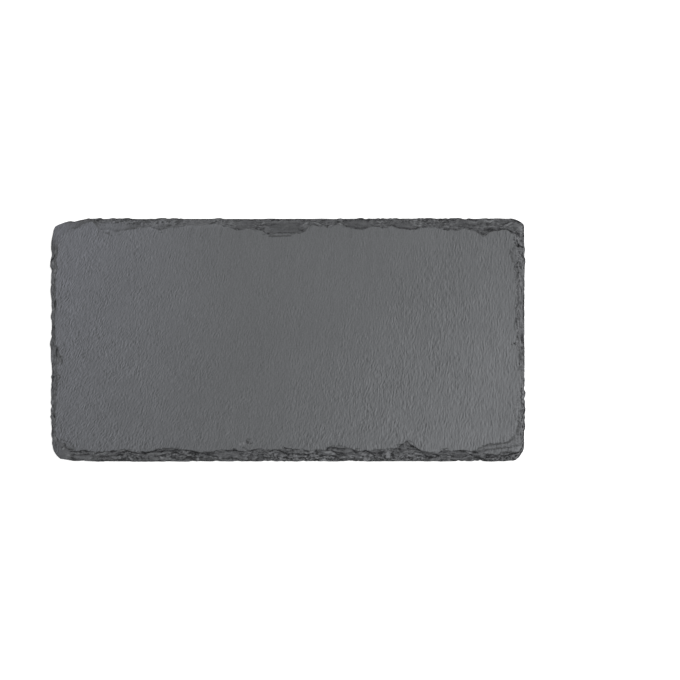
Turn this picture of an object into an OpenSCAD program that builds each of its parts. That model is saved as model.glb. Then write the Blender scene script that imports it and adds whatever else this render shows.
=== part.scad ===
// Slate serving board: a split stone slab with hand-chipped edges on four self-adhesive foam pads.
// It lies flat: +X runs along its length, +Y across it and +Z up, from the middle of its base.

/* [Slab] */
// Length of the slab
slab_l = 300; // [220:5:400]
// Width of the slab
slab_w = 153.5; // [120:0.5:220]
// Thickness of the slab
slab_t = 6; // [4:0.5:8]

/* [Corners] */
// Radius of the front left corner
front_left_r = 12; // [6:0.5:16]
// Radius of the front right corner
front_right_r = 10.5; // [6:0.5:16]
// Radius of the back right corner
back_right_r = 7.5; // [6:0.5:16]
// Radius of the back left corner
back_left_r = 13; // [6:0.5:16]

/* [Chipped edge] */
// Least width of the chipped bevel along the front edge
front_bevel = 4.5; // [3:0.1:6]
// Least width of the chipped bevel along the right edge
right_bevel = 2; // [1.5:0.1:3.5]
// Least width of the chipped bevel along the back edge
back_bevel = 3.1; // [2:0.1:5]
// Least width of the chipped bevel along the left edge
left_bevel = 3.2; // [2:0.1:5]
// Height of the upright edge that the chips leave standing
upright_h = 1.3; // [0.8:0.1:1.6]
// Width and height of the bevel knocked off the under edge
under_bevel = 0.5; // [0.2:0.1:0.7]
// Depth of the deepest bite that the chips take out of the outline
bite_depth = 1.6; // [0.5:0.1:2.5]

/* [Foot pads] */
// Diameter of a foam pad
pad_d = 12; // [8:0.5:20]
// Thickness of a foam pad
pad_t = 2; // [1:0.25:4]
// Distance from the slab's edges to the middle of a pad
pad_inset = 25; // [18:1:40]
// Thickness of a pad's adhesive disc
film_t = 0.2; // [0.1:0.05:0.4]
// Width of the ring of foam that the adhesive disc leaves bare
film_margin = 0.3; // [0.1:0.1:1]

/* [Hidden] */

// Space between two columns of points around the slab's edge
column_gap = 3;
// Radius of the corners of the inner line that the columns run towards
guide_r = 3;
// Depth of that inner line inside the outline, as a share of the widest least bevel
guide_depth_share = 4.5;
// Part of each half side on which the columns fan out towards the corner
fan_share = 0.6;

// The sides and the corners that end them go round anticlockwise: front, right, back and left
side_half_runs = [slab_l / 2, slab_w / 2, slab_l / 2, slab_w / 2];
side_half_spans = [slab_w / 2, slab_l / 2, slab_w / 2, slab_l / 2];
corner_rs = [front_right_r, back_right_r, back_left_r, front_left_r];
side_bevels = [front_bevel, right_bevel, back_bevel, left_bevel];
guide_depth = guide_depth_share * max(side_bevels);
slab_z = pad_t + film_t;

// Knots of the rim where the chips meet the face: places along the side, from the left or the
// front, as shares of the side, and the bevel's width there as a share of the side's least width
front_rim_shares = [
    [0.040, 1.85], [0.062, 1.49], [0.074, 1.70], [0.112, 1.35], [0.144, 1.70], [0.155, 1.77],
    [0.174, 1.42], [0.203, 1.42], [0.237, 1.85], [0.260, 1.85], [0.294, 1.56], [0.315, 1.38],
    [0.341, 1.52], [0.379, 1.63], [0.387, 1.99], [0.396, 1.56], [0.436, 1.77], [0.459, 1.70],
    [0.476, 1.56], [0.493, 2.06], [0.527, 1.70], [0.578, 1.63], [0.586, 1.99], [0.611, 1.99],
    [0.649, 1.42], [0.675, 1.56], [0.721, 1.70], [0.738, 2.41], [0.753, 2.83], [0.768, 2.06],
    [0.785, 1.49], [0.819, 1.28], [0.827, 1.70], [0.882, 1.56], [0.899, 1.35], [0.943, 1.00],
    [0.965, 1.21]
];
right_rim_shares = [
    [0.069, 1.20], [0.093, 1.20], [0.122, 1.68], [0.151, 2.16], [0.176, 1.68], [0.230, 1.02],
    [0.341, 1.14], [0.366, 1.00], [0.387, 2.10], [0.416, 1.84], [0.445, 1.84], [0.465, 2.79],
    [0.486, 3.52], [0.498, 2.79], [0.527, 2.79], [0.589, 3.11], [0.746, 3.11], [0.783, 3.56],
    [0.812, 3.62], [0.825, 2.48], [0.887, 2.48], [0.895, 3.27], [0.912, 3.75], [0.928, 3.43],
    [0.953, 3.65]
];
back_rim_shares = [
    [0.040, 2.43], [0.057, 1.92], [0.068, 1.31], [0.078, 1.00], [0.085, 1.00], [0.100, 2.13],
    [0.114, 2.54], [0.142, 2.74], [0.157, 2.43], [0.188, 1.92], [0.210, 1.72], [0.231, 2.54],
    [0.252, 1.82], [0.265, 1.92], [0.277, 1.51], [0.315, 1.41], [0.347, 1.00], [0.362, 1.51],
    [0.396, 2.33], [0.413, 2.02], [0.432, 2.33], [0.446, 2.43], [0.463, 3.25], [0.478, 2.94],
    [0.512, 3.11], [0.535, 2.43], [0.548, 1.41], [0.552, 1.21], [0.569, 1.72], [0.590, 1.72],
    [0.601, 1.41], [0.613, 1.41], [0.632, 1.92], [0.654, 2.23], [0.683, 1.62], [0.702, 2.02],
    [0.719, 1.51], [0.742, 2.23], [0.759, 2.33], [0.789, 1.82], [0.829, 2.33], [0.861, 2.43],
    [0.874, 2.02], [0.897, 2.64], [0.912, 3.66], [0.924, 2.84], [0.956, 2.33], [0.973, 2.94]
];
left_rim_shares = [
    [0.077, 2.00], [0.102, 1.21], [0.126, 1.11], [0.271, 1.11], [0.317, 1.60], [0.333, 1.60],
    [0.345, 2.20], [0.362, 1.50], [0.399, 1.41], [0.416, 2.30], [0.436, 2.40], [0.449, 1.60],
    [0.469, 1.60], [0.482, 1.01], [0.614, 1.01], [0.626, 1.31], [0.660, 1.31], [0.672, 1.07],
    [0.800, 1.41], [0.829, 1.21], [0.858, 1.50], [0.907, 1.60], [0.920, 1.90]
];
side_rim_shares = [front_rim_shares, right_rim_shares, back_rim_shares, left_rim_shares];

// Each bite out of the outline: its place and its half length as shares of the side, and its
// depth as a share of the deepest bite
front_bite_shares = [[0.034, 0.030, 0.55], [0.962, 0.024, 0.2]];
right_bite_shares = [[0.885, 0.020, 0.3]];
back_bite_shares = [[0.042, 0.045, 1]];
left_bite_shares = [[0.925, 0.050, 0.3]];
side_bite_shares = [front_bite_shares, right_bite_shares, back_bite_shares, left_bite_shares];

// Each layer line of the bevel: its height between the upright edge and the face, its inset as a
// share of the bevel there, the swing of its wave as a share of that inset, and its waves around
layer_shares = [[0.24, 0.16, 0.30, 61], [0.46, 0.44, 0.14, 47], [0.74, 0.66, 0.12, 53]];

// Turns a share from the left or the front into one from the start of the side, and back
function along_side(side, share) = side < 2 ? share : 1 - share;

// Width of the bevel at a place along a side
function bevel_at(side, place) = side_bevels[side] * lookup(place, side_rim_shares[side]);

// Depth of one bite at a place along its side: a smooth hollow that runs out at both ends
function bite_share(bite, place) =
    let (off = abs(place - bite[0]) / bite[1])
    off < 1 ? bite[2] * pow(1 - off * off, 2) : 0;

// Depth of the bites out of the outline at a place along a side
function bite_at(side, place) =
    bite_depth * max([for (bite = side_bite_shares[side]) bite_share(bite, place)]);

// The point s along a side's direction and h out along its normal
function side_point(side, s, h) =
    [s * cos(90 * side) + h * sin(90 * side), s * sin(90 * side) - h * cos(90 * side)];

// Where the column that starts s along a side meets the inner line
function fanned(s, half_run, r) =
    let (start = half_run * (1 - fan_share), end = half_run - r)
    let (part = max(0, (s - start) / (end - start)))
    s - (guide_depth + guide_r - r) * part * part;

// Each column: its point on the outline, its point on the inner line, its bevel and its bite
function side_columns(side) =
    let (half_run = side_half_runs[side], span = side_half_spans[side])
    let (r0 = corner_rs[(side + 3) % 4], r1 = corner_rs[side])
    let (run = 2 * half_run - r0 - r1, steps = ceil(run / column_gap))
    [for (i = [0 : steps - 1])
        let (s = r0 - half_run + run * i / steps)
        let (inner = s < 0 ? -fanned(-s, half_run, r0) : fanned(s, half_run, r1))
        let (place = along_side(side, (s + half_run) / (2 * half_run)))
        [side_point(side, s, span), side_point(side, inner, span - guide_depth),
            bevel_at(side, place), bite_at(side, place)]];

function corner_columns(side) =
    let (half_run = side_half_runs[side], span = side_half_spans[side], r = corner_rs[side])
    let (next = (side + 1) % 4, steps = ceil(r * PI / 2 / column_gap) + 1)
    let (run_end = along_side(side, 1 - r / (2 * half_run)))
    let (run_start = along_side(next, r / (2 * side_half_runs[next])))
    [for (i = [0 : steps - 1])
        let (part = i / steps, turn = 90 * part)
        let (back_off = guide_depth + guide_r)
        [side_point(side, half_run - r + r * sin(turn), span - r + r * cos(turn)),
            side_point(side, half_run - back_off + guide_r * sin(turn),
                span - back_off + guide_r * cos(turn)),
            (1 - part) * bevel_at(side, run_end) + part * bevel_at(next, run_start),
            (1 - part) * bite_at(side, run_end) + part * bite_at(next, run_start)]];

// The slab's points: one ring for each layer line, from the underside up to the face
function slab_points(columns) =
    let (rings = [
        [0, 0, under_bevel, 0, 0],
        [under_bevel, 0, 0, 0, 0],
        [upright_h, 0, 0, 0, 0],
        for (layer = layer_shares)
            [upright_h + layer[0] * (slab_t - upright_h), layer[1], 0, layer[2], layer[3]],
        [slab_t, 1, 0, 0, 0]])
    [for (ring = rings, i = [0 : len(columns) - 1])
        let (column = columns[i], wave = 1 + ring[3] * sin(360 * ring[4] * i / len(columns)))
        let (inset = max(column[3], ring[1] * column[2] * wave) + ring[2])
        let (point = column[0] + (column[1] - column[0]) * inset / guide_depth)
        [point.x, point.y, slab_z + ring[0]]];

module slate_slab() {
    columns = [for (side = [0 : 3]) each concat(side_columns(side), corner_columns(side))];
    points = slab_points(columns);
    n = len(columns);
    rings = len(points) / n;
    walls = [for (ring = [0 : rings - 2], i = [0 : n - 1])
        let (a = ring * n + i, b = ring * n + (i + 1) % n)
        each [[a, a + n, b + n], [a, b + n, b]]];
    underside = [for (i = [0 : n - 1]) i];
    face = [for (i = [n - 1 : -1 : 0]) (rings - 1) * n + i];
    color([0.37, 0.38, 0.40]) polyhedron(points, concat([underside, face], walls));
}

// Puts a piece at the foot on one side of each axis: -1 is left or front, and 1 right or back
module at_foot(x_side, y_side) {
    translate([x_side * (slab_l / 2 - pad_inset), y_side * (slab_w / 2 - pad_inset), 0]) children();
}

module foot_pad() {
    color([0.10, 0.10, 0.11]) cylinder(h = pad_t, d = pad_d, $fn = 64);
}

module adhesive_disc() {
    color([0.86, 0.85, 0.80]) translate([0, 0, pad_t])
        cylinder(h = film_t, d = pad_d - 2 * film_margin, $fn = 64);
}

slate_slab();
at_foot(-1, -1) foot_pad();  // foot_pad_front_left
at_foot(1, -1) foot_pad();  // foot_pad_front_right
at_foot(-1, 1) foot_pad();  // foot_pad_back_left
at_foot(1, 1) foot_pad();  // foot_pad_back_right
at_foot(-1, -1) adhesive_disc();  // adhesive_disc_front_left
at_foot(1, -1) adhesive_disc();  // adhesive_disc_front_right
at_foot(-1, 1) adhesive_disc();  // adhesive_disc_back_left
at_foot(1, 1) adhesive_disc();  // adhesive_disc_back_right
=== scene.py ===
"""A slate serving board: a split slab with chipped edges on four stick-on foam pads.

The slab is one closed surface. A band of points runs round its edge, from the underside over the
upright edge and the chipped bevel on to the face, and two grids close the face and the underside.
All lengths are in metres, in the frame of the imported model.
"""

import math

import bpy
import numpy as np
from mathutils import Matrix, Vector


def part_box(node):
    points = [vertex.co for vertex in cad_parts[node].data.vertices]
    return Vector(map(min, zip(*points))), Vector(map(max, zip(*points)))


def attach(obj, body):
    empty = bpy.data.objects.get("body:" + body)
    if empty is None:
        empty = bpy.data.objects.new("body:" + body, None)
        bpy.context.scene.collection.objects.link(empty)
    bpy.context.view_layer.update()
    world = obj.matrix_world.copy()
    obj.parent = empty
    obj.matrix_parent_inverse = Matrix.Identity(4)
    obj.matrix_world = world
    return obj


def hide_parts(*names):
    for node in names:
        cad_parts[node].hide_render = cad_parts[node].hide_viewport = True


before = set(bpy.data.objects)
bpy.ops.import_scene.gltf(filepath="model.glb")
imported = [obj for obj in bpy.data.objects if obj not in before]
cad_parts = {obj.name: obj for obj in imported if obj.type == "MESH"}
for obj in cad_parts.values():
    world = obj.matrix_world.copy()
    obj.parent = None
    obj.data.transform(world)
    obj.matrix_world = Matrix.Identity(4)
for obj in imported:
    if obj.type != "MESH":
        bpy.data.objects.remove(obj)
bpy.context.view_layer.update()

MM = 0.001
TINY = 1e-12
SLAB_LOW, SLAB_HIGH = (np.array(corner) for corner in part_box("slate_slab"))
HALF_L, HALF_W = (SLAB_HIGH[:2] - SLAB_LOW[:2]) / 2
THICKNESS = SLAB_HIGH[2] - SLAB_LOW[2]
PADS = ("front_left", "front_right", "back_left", "back_right")

# The sides go round anticlockwise: front, right, back and left.
CORNER_R = np.array([10.5, 7.5, 13.0, 12.0]) * MM  # of the corner that ends each side
HALF_RUN = np.array([HALF_L, HALF_W, HALF_L, HALF_W])  # half of each side's length
HALF_SPAN = np.array([HALF_W, HALF_L, HALF_W, HALF_L])  # from the middle to each side
RAGGED = np.array([0.14, 0.22, 0.12, 0.12]) * MM  # how far in the outline is frayed
RIM_WALL = np.array([0.50, 0.50, 0.36, 0.50])  # the wall under the rim, in millimetres
RUGGED = np.array([0.85, 0.90, 0.40, 0.50])  # the strength of the chips
# Painted light and shade: each side's chips are painted paler or darker for the way the lamp falls on that
# side
SHADE = np.array([-0.10, 0.24, -0.20, 0.13])  # how much paler the chips are

# The band's columns run in from the outline to a guide line and fan out on the way.
GUIDE_DEPTH = 20.25 * MM
GUIDE_R = 3.0 * MM  # of the guide line's corners
FAN_SHARE = 0.6  # of each half side
LEAST_CROSSING, MOST_CROSSING = -0.1, 1.2  # of the guide's depth, for a line that crosses

# The broken edge
UPRIGHT_H = 1.3 * MM
UNDER_BEVEL = 0.5 * MM  # at the foot of the upright edge
LEAST_BEVEL = 1.0 * MM  # the chipped bevel at its narrowest
LIP = 0.10 * MM  # from the rim to the row of points under it
LAYER = 0.85 * MM  # of cleavage
COARSE_SHARD, FINE_SHARD = (9 * MM, 1.6 * MM), (3.2 * MM, 0.7 * MM)  # length and width
SCARS = 230
MARK_DEPTH = 0.25 * MM  # of a mark of strength 1

# The band has two columns to each edge of the face's grid. It has four to each of the underside's,
# and a ring between them halves the columns.
UPRIGHT_ROWS, BEVEL_ROWS, FACE_ROWS = 6, 24, 20
FACE_CELLS, UNDER_CELLS = (208, 112), (104, 56)
FACE_INSET, UNDER_INSET = 14.5 * MM, 3.0 * MM  # from the outline to the band's two ends
FACE_GAP, RING_GAP, UNDER_GAP = 0.9 * MM, 1.2 * MM, 3.2 * MM  # and on to what lies within

# The feet
DISC_POINTS = 96
PAD_EDGE = 0.25 * MM  # the softened lower edge
PAD_WAIST, PAD_TOP_EDGE, FILM_WAIST = 0.12 * MM, 0.05 * MM, 0.06 * MM  # how far drawn in
FOOT_EASE = 8 * MM  # round a foot, from where the underside is flat to where it is riven

SLATE_CREASE, DISC_CREASE = 38, 50  # degrees between two faces, past which an edge is sharp

# The face's and the broken edge's darkest and palest colours: the tone between them carries grain and layers,
# and painted light and shade too
FACE_DARK = (0.049, 0.051, 0.053, 1)
FACE_PALE, FACE_BLUISH = (0.168, 0.173, 0.181, 1), (0.167, 0.172, 0.192, 1)
BROKEN_DARK, BROKEN_PALE = (0.018, 0.0185, 0.020, 1), (0.195, 0.199, 0.207, 1)
FOAM_DARK, FOAM_PALE = (0.006, 0.006, 0.007, 1), (0.020, 0.020, 0.022, 1)
FILM_DARK, FILM_PALE = (0.62, 0.60, 0.52, 1), (0.78, 0.77, 0.70, 1)
WHITE, FLOOR_WHITE = (1, 1, 1, 1), (0.8, 0.8, 0.8, 1)

# The photograph, in pixels that are numbered from 0
FRAME_W, FRAME_MID = 680, 339.5
BOX_MID, BOX_HALF = np.array([287.25, 339.35]), np.array([238.3, 121.93])  # of the board's box
PIXEL = HALF_L / BOX_HALF[0]
# The outline and the rim where the chips meet the face, clockwise from the top left corner
OUTLINE = (
    (50.5, 246), (50.6, 243), (50.9, 240), (51.5, 237), (52.3, 233.5), (52.7, 231), (53.6, 228),
    (54.8, 226.2), (56.2, 225), (59, 223.7), (62, 222.6), (65, 221.5), (68, 220.7), (70.5, 220.3),
    (74, 221.2), (77, 220.3), (80, 219.5), (83, 218.9), (86.5, 218.3), (88.5, 217.6), (90, 218.2),
    (95, 218), (97, 217.8), (98.5, 217.2), (100.5, 217.3), (102, 218.3), (106, 218.2),
    (109, 218.1), (112, 217.3), (114, 217.5), (116, 218.1), (119, 217.8), (123, 217.9),
    (126, 217.2), (128, 217.1), (130, 217.9), (132, 218.3), (140, 218.3), (146, 218.4),
    (150, 218.1), (155, 218.3), (158, 217.5), (162, 217.1), (164.6, 216.9), (165.6, 218),
    (170, 218), (172, 217.1), (174, 216.9), (176.5, 217.2), (178, 218.2), (180, 217.8),
    (184, 218.3), (211, 218.3), (213.5, 218), (216, 217.5), (218, 217.4), (220.8, 217),
    (221.8, 218.2), (226, 218.3), (262, 218.4), (269, 218), (280, 218.4), (300, 218.2),
    (312, 218.4), (321, 218), (330, 218.4), (336, 218.4), (340, 217.8), (342, 218.3), (348, 218.2),
    (356, 218.1), (358, 217.3), (362, 217.3), (363.6, 218.2), (366, 218.4), (368, 217.9),
    (372, 218.2), (376, 218), (378, 217.6), (380, 218.3), (382, 217.5), (384, 217.9), (388, 217.9),
    (390, 217.3), (392, 217.9), (394.5, 217.1), (396.5, 217.2), (398, 218.1), (404, 217.9),
    (412, 218.1), (416, 217.9), (418, 217.3), (420, 217.8), (422, 217.5), (424, 218.1),
    (426, 217.2), (430, 217.3), (433, 217.8), (436, 218.2), (440, 217.8), (442, 218.2),
    (445, 217.6), (448, 218.3), (450, 217.3), (454, 217.1), (456, 217.5), (458.5, 217),
    (460.5, 217.6), (462, 218.3), (465, 218.7), (468, 217.7), (472, 218.3), (478, 218.3),
    (484, 217.7), (486, 217.6), (488, 218.2), (491, 217.8), (498, 217.8), (504, 218.1),
    (508, 218.2), (510, 217.9), (513, 218.3), (515.3, 219), (518.3, 220.2), (521.3, 222),
    (523.3, 224.1), (523.9, 226.5), (524, 229), (523.8, 232), (523.8, 240), (523.9, 245),
    (524.6, 248), (524.7, 250), (524.1, 253), (524, 256), (524.9, 258.5), (525.1, 261),
    (524.4, 264), (524.1, 275), (524.1, 340), (524.3, 384), (523.6, 387.5), (524.4, 390),
    (525.3, 392), (524.9, 394), (524.7, 396), (523.8, 398), (524.6, 400.5), (524.5, 406),
    (525.1, 408), (524.8, 411), (524, 414), (524.4, 416), (524.9, 418), (524.2, 420), (524.8, 424),
    (524.6, 428), (523.7, 430), (523.6, 434), (523.4, 438), (523.8, 441), (523.8, 445),
    (523.3, 448), (522.7, 450.5), (521.3, 453), (518.3, 457), (515.3, 459.6), (512.5, 460.3),
    (508, 460.4), (504, 460.8), (500, 460.9), (498, 460.5), (496, 460.9), (490, 461.1),
    (484, 460.9), (482, 460.7), (480, 459.1), (478, 460.5), (476, 460.4), (474, 460.2),
    (472, 460.9), (467, 460.8), (464, 460.3), (462, 460.7), (460, 460.5), (458, 459.8),
    (456, 460.7), (444, 460.9), (438, 461.1), (435, 460.6), (428, 460.9), (410, 460.6),
    (400, 460.7), (390, 460.9), (372, 460.9), (368, 461.2), (364, 460.7), (360, 460.9),
    (358, 460.2), (356, 460.8), (352, 460.3), (348, 460.3), (343, 460.7), (336, 461), (328, 461),
    (324, 460.6), (320, 461), (316, 460.4), (314, 460.9), (312, 460.5), (310, 460.9), (308, 460.5),
    (306, 461.2), (303, 460.3), (300, 460.8), (296, 461.1), (290, 460.6), (288, 460.9),
    (286, 460.4), (284, 461.2), (282, 460.4), (276, 461), (271, 460.3), (267, 460.9), (264, 460.3),
    (261, 461), (250, 460.8), (241, 460.8), (237, 460.3), (233, 461), (220, 460.9), (216, 460.2),
    (212, 461), (209, 461.1), (204, 460.8), (200, 460.5), (196, 460.9), (192, 460.5), (190, 460.9),
    (188, 461.3), (180, 461.3), (174, 461), (168, 461), (160, 461.3), (144, 461.4), (132, 461.2),
    (124, 460.9), (105, 460.8), (102, 461.3), (97, 461.3), (92, 460.9), (82, 460.4), (76, 460.8),
    (72, 460.4), (67, 459.4), (62, 458.6), (60, 458.6), (58, 457.1), (56, 454.7), (53.5, 451),
    (52.2, 447), (51.5, 443), (51.5, 438), (50.7, 435.5), (50.6, 433.5), (51.2, 429),
    (50.6, 422.5), (50.8, 420), (50.4, 418), (49.7, 416), (50.8, 413.8), (50.3, 411),
    (50.2, 408.5), (51.3, 406), (50.8, 404), (50.1, 402), (50.5, 399.5), (50.6, 396), (50.3, 390),
    (50.5, 388), (50.9, 386), (50.6, 384), (51.4, 380.5), (50.9, 378), (50.3, 376), (51.4, 374.5),
    (51.5, 371), (51.3, 366), (50.9, 361), (50.5, 356), (50.6, 350), (50, 347), (49.4, 344.5),
    (49.3, 342), (50.5, 339), (51.3, 336), (50.6, 332), (51.2, 328), (51, 320), (50.3, 318),
    (50, 316), (50.3, 314), (51.4, 310), (50.9, 306), (51, 300), (50.3, 294), (50, 289),
    (50.3, 286), (50.8, 284), (50.2, 281), (50.7, 277), (50.5, 273), (51.1, 270), (50.5, 268),
    (49.5, 266), (49.5, 262), (50.3, 258), (50.9, 256), (51.5, 253.5), (50.8, 250), (50.5, 246),
)
RIM = (
    (59, 241), (62, 236), (70, 230.5), (78, 228), (83, 225), (88, 222.5), (92, 221.5), (95, 223.5),
    (97, 227), (101, 229.4), (108, 230), (114, 230.8), (118, 231.6), (125, 230.5), (132, 229.5),
    (140, 228), (150, 227), (156, 229.5), (160, 231), (165, 229), (170, 227.5), (176, 228),
    (182, 226), (190, 225.5), (200, 225.5), (208, 224.5), (215, 223.5), (222, 226), (228, 227.5),
    (238, 230), (244, 229.5), (246, 228.5), (255, 230), (262, 230.5), (264, 233), (270, 234.5),
    (277, 233), (285, 233.5), (293, 233.8), (300, 232), (304, 230.5), (307, 229), (310, 225.5),
    (312, 224.5), (317, 226), (320, 227), (323, 225.5), (326, 227.5), (330, 227), (335, 225.5),
    (341, 225.5), (345, 227), (350, 228), (360, 229.5), (365, 228.5), (370, 227), (374, 226.5),
    (378, 227), (383, 228.5), (387, 227.5), (391, 226), (397, 228.5), (402, 229.5), (410, 230),
    (416, 229.5), (420, 228), (424, 227.5), (430, 228), (434, 227.5), (438, 229), (443, 230),
    (458, 230.5), (464, 228.5), (470, 230), (475, 231.5), (478, 234), (482, 236.5), (485, 235.5),
    (488, 232.5), (492, 231.5), (497, 230.5), (503, 230), (508, 231), (511, 233), (513, 236),
    (512, 240), (513.5, 244), (516, 246), (516, 261), (512.4, 264), (512.6, 271), (514, 280),
    (514, 318), (515, 333), (515, 340), (512.7, 343), (515, 348), (518, 353), (518, 360),
    (517.2, 367), (521, 372), (520.2, 378), (520.6, 405), (519.3, 412), (518.5, 418), (517, 424),
    (518.5, 431), (520, 438), (520, 445), (519, 449), (515, 451.5), (505, 452), (497, 453.5),
    (485, 452), (476, 451), (472, 450), (468, 449.5), (455, 449.5), (442, 448.5), (438, 451.5),
    (432, 452), (425, 451), (418, 448.5), (414, 446), (410, 443), (407, 440.5), (404, 441.5),
    (400, 443.5), (396, 446.5), (392, 448.5), (385, 449.5), (370, 449.5), (358, 450.5),
    (353, 448.5), (340, 446.5), (333, 446), (328, 446.5), (324, 449), (304, 449.5), (300, 448.5),
    (287, 447.5), (284, 446), (282, 447.5), (276, 449.5), (268, 448.5), (257, 448), (244, 450),
    (238, 449.5), (234, 446.5), (230, 449), (212, 449.8), (200, 450.8), (184, 448.5), (174, 447.5),
    (163, 447.5), (153, 449.5), (147, 450.5), (133, 450.5), (124, 448), (119, 448.5), (104, 451),
    (90, 450.5), (86, 448.5), (80, 450), (74, 449.5), (70, 447.5), (66, 444), (61, 441), (57, 436),
    (56.5, 430), (56.5, 410), (57.3, 390), (59, 384), (59, 380), (62, 377), (62, 375.5),
    (58.5, 373), (58, 364), (62.5, 360), (63, 355), (59, 352), (59, 347), (56, 344), (56, 312),
    (57.5, 309), (57.5, 301), (56.3, 298), (56.3, 282), (58, 267), (57, 260), (58.5, 253),
    (59, 241),
)
# Thin flakes lifted off the face beyond the rim: their depth in millimetres and their far line
FLAKES = (
    (0.28, (474, 452), (477, 446.5), (484, 444.5), (490, 443), (500, 441.8), (506, 441.4),
     (508.6, 439.4), (511, 436.6), (512.4, 433.6), (515.6, 431.4), (517.4, 428)),
    (0.30, (474, 452), (479, 449.5), (490, 448.5), (503, 446.5), (512, 446.8), (517, 444)),
    (0.07, (101, 229), (105, 234), (110, 236), (117, 236.3), (122, 234), (124, 230)),
    (0.20, (515, 243), (510.5, 249), (509.6, 256), (511, 262), (515, 265)),
    (0.12, (62, 438), (67, 439.5), (72, 441), (75, 446), (76, 451)),
    (0.14, (266, 232), (268, 236.2), (276, 235.8), (290, 236), (296, 233)),
    (0.12, (402, 444), (407, 438.6), (412, 441), (417, 447.4), (421, 451)),
    (0.12, (326, 448), (331, 444.2), (341, 444.6), (349, 446.4), (354, 449.5)),
    (0.13, (59, 346), (59.6, 352), (61.6, 356), (63.6, 360), (62.8, 364), (58, 367)),
)
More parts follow.
